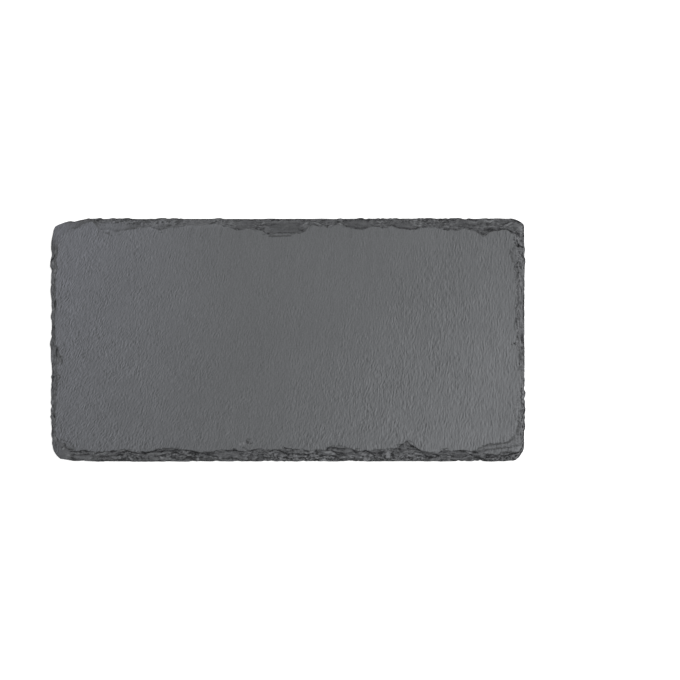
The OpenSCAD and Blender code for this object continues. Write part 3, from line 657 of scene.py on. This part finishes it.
def low_rows(edge, upright):
    """Insets and heights of the band's rows over the margin of the underside and up the upright
    edge, which has a bevel at its foot and grooves between its layers."""
    up = np.linspace(0, 1, UPRIGHT_ROWS)[:-1, None]
    under = UNDER_BEVEL * (1 + 0.8 * along_noise(3 * MM, 0.5, 121, 2))
    foot = under * (1 - blend(up / 0.3))
    depth = (up * UPRIGHT_H) / (0.28 * MM)
    ledge = along_noise(4 * MM, 7.3 * depth + 0.5, 131, 2)
    groove = 0.30 * MM * np.clip(ledge + 0.4, 0, 1) * np.sin(math.pi * np.clip(up * 1.1, 0, 1))

    under_share = np.array([[1.0], [0.5], [0.0]])
    under_inset = edge + under + (UNDER_INSET - edge - under) * under_share
    x, y = np.moveaxis(at_inset(under_inset[:2]), -1, 0)
    under_height = np.concatenate([under_rise(x, y), np.zeros((1, COLUMNS))])
    insets = np.concatenate([under_inset, (edge + foot + groove)[1:]])
    return insets, np.concatenate([under_height, (upright * up)[1:]])


def slab_band():
    """The band round the slab's edge, as rows of points, and fields of how chipped it is, how far it stands
    out of its neighbours, how smooth it is, its marks with their painted light and shade, and how crumbled it
    is."""
    ragged = by_side(RAGGED) * np.clip(along_noise(2.0 * MM, 0.5, 71, 3) + 0.1, 0, 1)
    edge = crossing(OUTLINE) + ragged
    rim = crossing(RIM) + 0.45 * MM * along_noise(1.8 * MM, 3.5, 75, 2)
    rim = np.maximum(rim, edge + LEAST_BEVEL)

    bevel_share = 1 - (1 - np.linspace(0, 1, BEVEL_ROWS - 1)[:, None]) ** 1.15
    bevel_inset = edge + (rim - edge) * bevel_share
    face_share = (np.arange(1, FACE_ROWS + 1) / FACE_ROWS)[:, None] ** 1.5
    face_inset = rim + (FACE_INSET - rim) * face_share
    inset = np.concatenate([bevel_inset[:-1], (rim - LIP)[None], bevel_inset[-1:], face_inset])
    x, y = np.moveaxis(at_inset(inset), -1, 0)

    drawn, calm = marks(x, y), spots(x, y, CALM)
    lifted, crevice = flakes(inset)
    lifted = np.maximum(lifted, MARK_DEPTH * np.clip(-drawn, 0, 2))
    lifted = lifted * (1 + 0.7 * rough(x, y, 2.2 * MM, 111, 3))
    face = THICKNESS - face_drop(x, y) - np.maximum(lifted, 0)
    height, upright = broken_edge(inset, edge, rim, x, y, calm, drawn)
    height = np.where(inset < rim, np.minimum(height, face), face)
    height[0] = upright

    low_inset, low_height = low_rows(edge, upright)
    all_inset = np.maximum(np.concatenate([low_inset, inset]), 0)
    all_height = np.concatenate([low_height, height])
    xy = at_inset(all_inset)
    points = np.concatenate([xy, (SLAB_LOW[2] + all_height)[..., None]], axis=2)

    # The underside's margin isn't chipped, and the fields drawn from the photo start at the bevel
    rows = len(low_inset)
    # The relief field carries painted shade in crevices and painted light on crests
    chipped, shade_and_tone = np.ones(all_inset.shape), relief(points)
    chipped[:2] = 0
    flaked = np.clip(lifted / (0.4 * MM), 0, 1) * 0.4
    chipped[rows:] = np.where(inset < rim, 1 - spots(x, y, PALE), flaked)
    # Painted shade in the crevice along each flake
    shade_and_tone[rows:] = shade_and_tone[rows:] - crevice * (inset > rim)
    # Painted shade: a dark line along the outline, where the edge falls steeply away
    outer = np.exp(-(((inset - edge) / (0.45 * MM)) ** 2))
    outer = outer * (0.8 + 1.4 * along_noise(5 * MM, 6.5, 141, 2))
    # Painted light and shade: each side's chips are made paler or darker for the way the lamp falls on that
    # side
    shade = by_side(SHADE) * (inset < rim)
    drawn = np.clip(drawn, -2, 1.6) - np.clip(outer, 0, 1.4) + shade
    fields = {"chipped": chipped, "relief": shade_and_tone}
    for label, values in (("calm", calm), ("drawn", drawn), ("crumbled", spots(x, y, CRUMBS))):
        fields[label] = np.zeros(all_inset.shape)
        fields[label][rows:] = values
    return points, fields


def relief(points):
    """Height of each point over its neighbours in the band, from -1 in a crevice to 1 on a crest, for painted
    shade in the stone's crevices and painted light on its crests."""
    z = points[..., 2]
    wide = sum(np.roll(z, k, axis=1) for k in range(-3, 4)) / 7
    for step in (1, 2):
        wide = (np.roll(wide, step, 0) + wide + np.roll(wide, -step, 0)) / 3
    result = np.clip((z - wide) / (0.25 * MM), -1, 1)
    # The underside's margin, the first row of the edge and the band's last rows have no relief
    result[:4] = 0
    result[-2:] = 0
    return result


def patch(ring, cells):
    """Fills a closed ring with a grid of cells. Each inside point is worked out from the four
    sides: across plus along, less the corners' own mix."""
    nx, ny = cells
    front, right = ring[: nx + 1], ring[nx : nx + ny + 1]
    back = ring[nx + ny : 2 * nx + ny + 1][::-1]
    left = np.concatenate([ring[2 * nx + ny :], ring[:1]])[::-1]
    u = (np.arange(nx + 1) / nx)[:, None, None]
    v = (np.arange(ny + 1) / ny)[None, :, None]
    sides = (1 - v) * front[:, None] + v * back[:, None] + (1 - u) * left[None] + u * right[None]
    corners = (1 - u) * ((1 - v) * front[0] + v * back[0]) + u * ((1 - v) * front[-1] + v * back[-1])
    return sides - corners


def ring_ids(grid):
    """The numbers of a grid's outer points, in the same order round as its ring."""
    return np.concatenate([grid[:-1, 0], grid[-1, :-1], grid[:0:-1, -1], grid[0, :0:-1]])


def grid_quads(grid):
    """The quads of a grid of point numbers, which face up if its axes are +X and +Y."""
    a, b, c, d = grid[:-1, :-1], grid[1:, :-1], grid[1:, 1:], grid[:-1, 1:]
    return np.stack([a, b, c, d], axis=-1).reshape(-1, 4)


def band_quads(ids):
    """The quads between the rings of a band, which face out if it goes up anticlockwise."""
    around = np.roll(ids, -1, axis=1)
    return np.stack([ids[:-1], around[:-1], around[1:], ids[1:]], axis=-1).reshape(-1, 4)


def stitch(fine, coarse):
    """Triangles between a ring and one inside it with half as many points."""
    a, b, c = fine[::2], fine[1::2], np.roll(fine, -1)[1::2]
    d, e = coarse, np.roll(coarse, -1)
    return np.concatenate([np.stack(t, axis=1) for t in ((a, b, d), (b, c, e), (b, e, d))])


def make_mesh(name, points, faces, attributes):
    """A mesh object from points, arrays of faces and one number a point for each attribute."""
    mesh = bpy.data.meshes.new(name)
    corners = np.concatenate([f.ravel() for f in faces]).astype(np.int32)
    sizes = np.concatenate([np.full(len(f), f.shape[1]) for f in faces]).astype(np.int32)
    mesh.vertices.add(len(points))
    mesh.vertices.foreach_set("co", np.asarray(points, np.float32).ravel())
    mesh.loops.add(len(corners))
    mesh.loops.foreach_set("vertex_index", corners)
    mesh.polygons.add(len(sizes))
    mesh.polygons.foreach_set("loop_start", (np.cumsum(sizes) - sizes).astype(np.int32))
    mesh.update(calc_edges=True)
    for label, values in attributes.items():
        layer = mesh.attributes.new(label, "FLOAT", "POINT")
        layer.data.foreach_set("value", np.asarray(values, np.float32).ravel())
    mesh.polygons.foreach_set("use_smooth", np.ones(len(sizes), bool))
    piece = bpy.data.objects.new(name, mesh)
    bpy.context.scene.collection.objects.link(piece)
    return piece


def slate_board():
    """The slab: its band, the grids of its face and underside, and the rings between them."""
    band, fields = slab_band()
    ids = np.arange(len(band) * COLUMNS).reshape(-1, COLUMNS)

    face_ring = at_inset(np.full(COLUMNS, FACE_INSET + FACE_GAP))[::2]
    x, y = np.moveaxis(patch(face_ring, FACE_CELLS), -1, 0)
    face = np.stack([x, y, SLAB_HIGH[2] - face_drop(x, y)], axis=-1)
    face_ids = ids.size + np.arange(x.size).reshape(x.shape)

    x, y = at_inset(np.full(COLUMNS, UNDER_INSET + RING_GAP))[::2].T
    middle = np.stack([x, y, SLAB_LOW[2] + under_rise(x, y)], axis=-1)
    middle_ids = face_ids.max() + 1 + np.arange(len(middle))

    under_ring = at_inset(np.full(COLUMNS, UNDER_INSET + UNDER_GAP))[::4]
    x, y = np.moveaxis(patch(under_ring, UNDER_CELLS), -1, 0)
    under = np.stack([x, y, SLAB_LOW[2] + under_rise(x, y)], axis=-1)
    under_ids = middle_ids.max() + 1 + np.arange(x.size).reshape(x.shape)

    points = np.concatenate([part.reshape(-1, 3) for part in (band, face, middle, under)])
    rest = np.zeros(len(points) - ids.size)
    faces = [
        band_quads(ids),
        grid_quads(face_ids),
        stitch(ids[-1], ring_ids(face_ids)),
        stitch(ids[0], middle_ids)[:, ::-1],
        stitch(middle_ids, ring_ids(under_ids))[:, ::-1],
        grid_quads(under_ids)[:, ::-1],
    ]
    attributes = {label: np.concatenate([field.ravel(), rest]) for label, field in fields.items()}
    board = make_mesh("slate_board", points, faces, attributes)
    board.data.set_sharp_from_angle(angle=math.radians(SLATE_CREASE))
    board.data.materials.append(slate_material())
    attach(board, "root")
    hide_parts("slate_slab")


def turned_disc(profile, seed, dent):
    """A disc turned from a profile of (radius, height) pairs round its middle, with small dents
    that push its side inwards. The two ends of the profile are at the axis."""
    radii, heights = np.array(profile).T
    number = np.arange(DISC_POINTS)
    angle = number / DISC_POINTS * 2 * math.pi
    side = rough(number[None], heights[1:-1, None], (6, 0.35 * MM), seed, 2)
    r = radii[1:-1, None] * (1 - dent * (0.5 + side))
    z = np.broadcast_to(heights[1:-1, None], r.shape)
    wall = np.stack([r * np.cos(angle), r * np.sin(angle), z], axis=-1).reshape(-1, 3)
    ends = np.array([[0, 0, heights[0]], [0, 0, heights[-1]]])
    ids = np.arange(len(wall)).reshape(-1, DISC_POINTS)
    around = np.roll(ids, -1, axis=1)
    low = np.stack([around[0], ids[0], np.full(DISC_POINTS, len(wall))], axis=1)
    top = np.stack([ids[-1], around[-1], np.full(DISC_POINTS, len(wall) + 1)], axis=1)
    return np.concatenate([wall, ends]), [band_quads(ids), low, top]


def placed_disc(name, node, profile, seed, dent, material):
    """Puts a turned disc at the middle of the node that it stands for."""
    low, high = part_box(node)
    points, faces = turned_disc(profile, seed, dent)
    points = points + np.array([(low.x + high.x) / 2, (low.y + high.y) / 2, low.z])
    piece = make_mesh(name, points, faces, {})
    piece.data.set_sharp_from_angle(angle=math.radians(DISC_CREASE))
    piece.data.materials.append(material)
    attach(piece, "root")
    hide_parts(node)


def foam_pad(pad, material):
    """A die-cut foam pad: a flat top, a side drawn in a little and a softened lower edge."""
    low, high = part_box("foot_pad_" + pad)
    radius, height = (high.x - low.x) / 2, high.z - low.z
    inner = radius - PAD_EDGE
    flat = [(radius * f, 0.0) for f in (0.0, 0.3, 0.6, 0.85)] + [(inner, 0.0)]
    corner = [
        (inner + PAD_EDGE * math.sin(a), PAD_EDGE - PAD_EDGE * math.cos(a))
        for a in np.linspace(0.3, math.pi / 2, 5)
    ]
    waist = [
        (radius - PAD_WAIST * math.sin(math.pi * f), PAD_EDGE + (height - PAD_EDGE) * f)
        for f in np.linspace(0.1, 0.9, 8)
    ]
    top = [(radius - PAD_TOP_EDGE, height), (radius * 0.6, height), (0.0, height)]
    profile = flat + corner + waist + top
    seed = 200 + 7 * PADS.index(pad)
    placed_disc("foam_pad_" + pad, "foot_pad_" + pad, profile, seed, 0.008, material)


def film_disc(pad, material):
    """The adhesive film between a pad and the stone, its edge drawn in a little."""
    low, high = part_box("adhesive_disc_" + pad)
    radius, height = (high.x - low.x) / 2, high.z - low.z
    rim = [(radius - FILM_WAIST * math.sin(math.pi * f), height * f) for f in np.linspace(0, 1, 5)]
    profile = [(0.0, 0.0), (radius * 0.7, 0.0)] + rim + [(radius * 0.7, height), (0.0, height)]
    seed = 300 + 7 * PADS.index(pad)
    placed_disc(
        "film_disc_" + pad, "adhesive_disc_" + pad, profile, seed, 0.004, material)


class Nodes:
    """Builds the nodes of a material or a world: add() makes a node, and a socket as a value links
    it. The other methods make the nodes that are used often and return what they put out."""

    def __init__(self, owner):
        owner.use_nodes = True
        self.owner, self.tree = owner, owner.node_tree
        self.tree.nodes.clear()

    def add(self, kind, values=None, **settings):
        made = self.tree.nodes.new(kind)
        for key, value in settings.items():
            setattr(made, key, value)
        for key, value in (values or {}).items():
            if isinstance(value, bpy.types.NodeSocket):
                self.tree.links.new(value, made.inputs[key])
            else:
                made.inputs[key].default_value = value
        return made

    def place(self):
        return self.add("ShaderNodeTexCoord").outputs["Object"]

    def attribute(self, label):
        return self.add("ShaderNodeAttribute", attribute_name=label).outputs["Fac"]

    def math(self, operation, a, b=0.0, c=0.0):
        return self.add("ShaderNodeMath", {0: a, 1: b, 2: c}, operation=operation).outputs[0]

    def plus(self, a, b):
        return self.math("ADD", a, b)

    def minus(self, a, b):
        return self.math("SUBTRACT", a, b)

    def times(self, a, b):
        return self.math("MULTIPLY", a, b)

    def times_plus(self, a, b, c):
        return self.math("MULTIPLY_ADD", a, b, c)

    def centred(self, value, factor):
        return self.times(self.minus(value, 0.5), factor)

    def range(self, value, low, high, to_low, to_high):
        values = {"Value": value, "From Min": low, "From Max": high, "To Min": to_low, "To Max": to_high}
        return self.add("ShaderNodeMapRange", values).outputs[0]

    def mix(self, factor, a, b):
        return self.add("ShaderNodeMix", {0: factor, 6: a, 7: b}, data_type="RGBA").outputs[2]

    def noise(self, vector, scale, detail, roughness):
        values = {"Vector": vector, "Scale": scale, "Detail": detail, "Roughness": roughness}
        return self.add("ShaderNodeTexNoise", values).outputs["Fac"]

    def cells(self, vector, scale):
        values = {"Vector": vector, "Scale": scale}
        return self.add("ShaderNodeTexVoronoi", values, feature="F1").outputs["Distance"]

    def combine(self, x, y, z):
        return self.add("ShaderNodeCombineXYZ", {0: x, 1: y, 2: z}).outputs[0]

    def seen(self):
        """1 for a ray that shows a backdrop, straight or in a reflection or through glass."""
        path = self.add("ShaderNodeLightPath").outputs
        direct = self.math("MAXIMUM", path["Is Camera Ray"], path["Is Glossy Ray"])
        return self.math("MAXIMUM", direct, path["Is Transmission Ray"])

    def finish(self, shader, output="ShaderNodeOutputMaterial"):
        self.tree.links.new(shader.outputs[0], self.add(output).inputs["Surface"])
        return self.owner

    def finish_rough(self, colour, roughness, height, distance, strength=1.0, specular=0.5):
        """Ends a material whose relief is a field of heights, as deep as the distance."""
        values = {"Strength": strength, "Distance": distance, "Height": height}
        bump = self.add("ShaderNodeBump", values)
        return self.finish(self.add("ShaderNodeBsdfPrincipled", {
            "Base Color": colour, "Roughness": roughness, "Specular IOR Level": specular,
            "Normal": bump.outputs[0]}))


def face_grain(n, place, x, y):
    """The grain of the face, as fine ripples and as broader scales, drawn out along lines that lean at the
    left. A ripple is the noise less the same noise a little to its side, which paints each fine ridge lit on
    one side and shaded on the other, and a faint wave that the scales bend."""
    wander = n.centred(n.noise(place, 150.0, 2.0, 0.5), 0.0022)
    lean = n.range(x, -HALF_L, HALF_L * 0.6, 0.36, 0.06)
    across = n.plus(n.minus(x, n.times(y, lean)), wander)
    down = n.times(y, n.range(x, -HALF_L, HALF_L, 520.0, 250.0))
    wavy = n.times(across, 1250.0)
    lit = n.noise(n.combine(wavy, down, 0.0), 1.0, 1.0, 0.5)
    shaded = n.noise(n.combine(n.plus(wavy, 0.95), down, 0.0), 1.0, 1.0, 0.5)
    scales = n.combine(n.times(across, 850.0), n.times(down, 0.35), 7.0)
    scales = n.noise(scales, 1.0, 1.0, 0.5)
    phase = n.times_plus(across, 3050.0, n.times(scales, 14.0))
    return n.times_plus(n.math("SINE", phase), 0.12, n.minus(lit, shaded)), scales


def slate_material():
    """Split slate. The face has grain streaks that lean at the left, painted lit and shaded, and the chips
    are darker, with pale and dark lines where they cut the cleavage layers, painted as light on the layers'
    lips and shade under their risers."""
    n = Nodes(bpy.data.materials.new("riven_slate"))
    labels = ("chipped", "relief", "calm", "drawn", "crumbled")
    chipped, crest, calm, drawn, crumbled = (n.attribute(label) for label in labels)
    place = n.place()
    x, y, z = n.add("ShaderNodeSeparateXYZ", {0: place}).outputs
    at_left = n.range(x, -HALF_L * 0.2, -HALF_L * 0.9, 0.0, 1.4)
    slant = n.minus(x, n.times(y, 0.6))

    # How strong the grain's painted light and shade are, which is more at both ends, where the light is
    # painted as raking across it, and in patches
    vigour = n.times(n.range(slant, 20 * MM, 75 * MM, 0.0, 0.26), n.range(y, 10 * MM, HALF_W, 1.0, 0.7))
    vigour = n.plus(vigour, n.range(y, -HALF_W, HALF_W, 0.23, 0.11))
    vigour = n.times_plus(at_left, n.range(y, -HALF_W, HALF_W, 0.15, 0.225), vigour)
    vigour = n.times(vigour, n.range(n.noise(place, 90.0, 2.0, 0.5), 0.35, 0.65, 0.65, 1.35))

    # How pale the face is: a painted sheen of light makes it paler towards the right, the lower right and the
    # left; then its grain, patches, grit, painted shade in crevices, and marks
    level = n.times(n.range(slant, 45 * MM, HALF_L, 0.0, 0.22), n.range(y, 0.0, 60 * MM, 1.0, 0.2))
    level = n.plus(level, n.range(slant, -10 * MM, 40 * MM, 0.405, 0.45))
    level = n.plus(n.times(at_left, n.range(y, -HALF_W, HALF_W, 0.04, 0.16)), level)
    ripple, scales = face_grain(n, place, x, y)
    tone = n.times_plus(n.times_plus(ripple, 2.4, n.centred(scales, 0.5)), vigour, level)
    patches, grit = n.noise(place, 25.0, 3.0, 0.55), n.noise(place, 1200.0, 1.0, 0.5)
    tone = n.plus(tone, n.plus(n.centred(patches, 0.12), n.centred(grit, 0.28)))
    # Painted shade in the crevices
    tone = n.times_plus(n.math("MINIMUM", crest, 0.0), 0.8, tone)
    crumbs = n.noise(place, 750.0, 4.0, 0.65)
    tone = n.times_plus(n.centred(crumbs, 1.8), crumbled, n.times_plus(drawn, 0.6, tone))
    bluish = n.times(at_left, n.range(y, -HALF_W, HALF_W, 0.45, 0.82))
    face = n.mix(tone, FACE_DARK, n.mix(bluish, FACE_PALE, FACE_BLUISH))

    # The broken edge: bent layers, painted dark as shade under their risers and pale as light on their lips,
    # crumbs, painted light on crests and shade in crevices, and marks
    bent = n.plus(z, n.centred(n.noise(place, 130.0, 3.0, 0.6), 0.0045))
    layers = n.combine(n.times(x, 120.0), n.times(y, 120.0), n.times(bent, 1250.0))
    layers = n.noise(layers, 1.0, 3.0, 0.6)
    lively = n.range(calm, 0.0, 1.0, 1.0, 0.35)
    shade_and_tone = n.plus(n.range(layers, 0.36, 0.45, -0.32, 0.0), n.range(layers, 0.57, 0.63, 0.0, 0.46))
    gritty = n.times(n.centred(crumbs, 1.0), n.times_plus(crumbled, 2.2, 1.1))
    shade_and_tone = n.times(n.times_plus(shade_and_tone, 0.65, gritty), lively)
    # Painted light on the crests and painted shade in the crevices, and the marks with their painted light
    # and shade
    shade_and_tone = n.times_plus(crest, 0.18, n.times_plus(drawn, 0.62, shade_and_tone))
    broken = n.mix(n.plus(shade_and_tone, 0.43), BROKEN_DARK, BROKEN_PALE)

    face_height = n.times(n.plus(n.times(ripple, 0.8), n.times(scales, 0.9)), vigour)
    edge_height = n.times(n.plus(n.times(layers, 1.6), n.times(crumbs, 1.4)), lively)
    height = n.add("ShaderNodeMix", {"Factor": chipped, "A": face_height, "B": edge_height}).outputs[0]
    roughness = n.times_plus(scales, 0.16, n.times_plus(chipped, 0.12, 0.52))
    return n.finish_rough(n.mix(chipped, face, broken), roughness, height, 0.22 * MM, specular=0.25)


def foam_material():
    """Closed-cell foam: near black, matt, with fine open cells on its cut sides."""
    n = Nodes(bpy.data.materials.new("pad_foam"))
    place = n.place()
    cells, dust = n.cells(place, 3200.0), n.noise(place, 500.0, 4.0, 0.6)
    colour = n.mix(n.times(cells, n.plus(dust, 0.4)), FOAM_PALE, FOAM_DARK)
    roughness = n.plus(n.times(dust, 0.15), 0.78)
    return n.finish_rough(colour, roughness, cells, 0.08 * MM, specular=0.3)


def film_material():
    """Acrylic adhesive: milky, faintly yellow and glossy, with small trapped bubbles."""
    n = Nodes(bpy.data.materials.new("adhesive_film"))
    place = n.place()
    bubbles, haze = n.cells(place, 900.0), n.noise(place, 300.0, 3.0, 0.5)
    colour = n.mix(n.times(bubbles, haze), FILM_DARK, FILM_PALE)
    roughness = n.plus(n.times(haze, 0.2), 0.2)
    return n.finish_rough(colour, roughness, bubbles, 0.03 * MM, strength=0.4)


def white_floor():
    """A plain floor: matt white under the lamp, and lifted to full white for the camera, the more
    so far away, where the lamp's light fades."""
    n = Nodes(bpy.data.materials.new("studio_floor"))
    away = n.add("ShaderNodeVectorMath", {0: n.place()}, operation="LENGTH").outputs["Value"]
    half, near, far = 6.0, 1.0, 3.0
    lift = n.times(n.seen(), n.range(away, near, far, 0.58, 0.80))
    matt = n.add("ShaderNodeBsdfDiffuse", {"Color": FLOOR_WHITE})
    glow = n.add("ShaderNodeEmission", {"Color": WHITE, "Strength": lift})
    shader = n.add("ShaderNodeAddShader", {0: matt.outputs[0], 1: glow.outputs[0]})
    corners = np.array([[-half, -half, 0], [half, -half, 0], [half, half, 0], [-half, half, 0]])
    floor = make_mesh("studio_floor", corners, [np.array([[0, 1, 2, 3]])], {})
    floor.data.materials.append(n.finish(shader))


def white_world():
    """An even pale sky: dim as a light, and full white to the camera and in reflections."""
    n = Nodes(bpy.data.worlds.new("studio_sky"))
    strength = n.range(n.seen(), 0.0, 1.0, 0.35, 1.0)
    sky = n.add("ShaderNodeBackground", {"Color": WHITE, "Strength": strength})
    bpy.context.scene.world = n.finish(sky, "ShaderNodeOutputWorld")


def soft_lamp(name, place, size, power):
    """A square soft box that faces the middle of the board."""
    data = bpy.data.lights.new(name, "AREA")
    data.shape = "SQUARE"
    data.size = size
    data.energy = power
    lamp = bpy.data.objects.new(name, data)
    lamp.location = place
    away = -np.array(place) / np.linalg.norm(place)
    lamp.rotation_euler = Vector(away).to_track_quat("-Z", "Y").to_euler()
    bpy.context.scene.collection.objects.link(lamp)


def photo_camera():
    """A long lens straight above the board, set so that the outline falls as in the photo."""
    data = bpy.data.cameras.new("photo_camera")
    data.lens = 90.0
    data.sensor_width = 36.0
    camera = bpy.data.objects.new("photo_camera", data)
    away = FRAME_W * PIXEL * data.lens / data.sensor_width
    camera.location = (
        (FRAME_MID - BOX_MID[0]) * PIXEL,
        (BOX_MID[1] - FRAME_MID) * PIXEL,
        SLAB_LOW[2] + UPRIGHT_H + away,
    )
    bpy.context.scene.collection.objects.link(camera)
    bpy.context.scene.camera = camera


slate_board()
foam, film = foam_material(), film_material()
for pad in PADS:
    foam_pad(pad, foam)
    film_disc(pad, film)

white_floor()
white_world()
soft_lamp("key_softbox", place=(0.90, 0.32, 2.80), size=1.3, power=62.0)
photo_camera()
bpy.context.scene.view_settings.view_transform = "Standard"
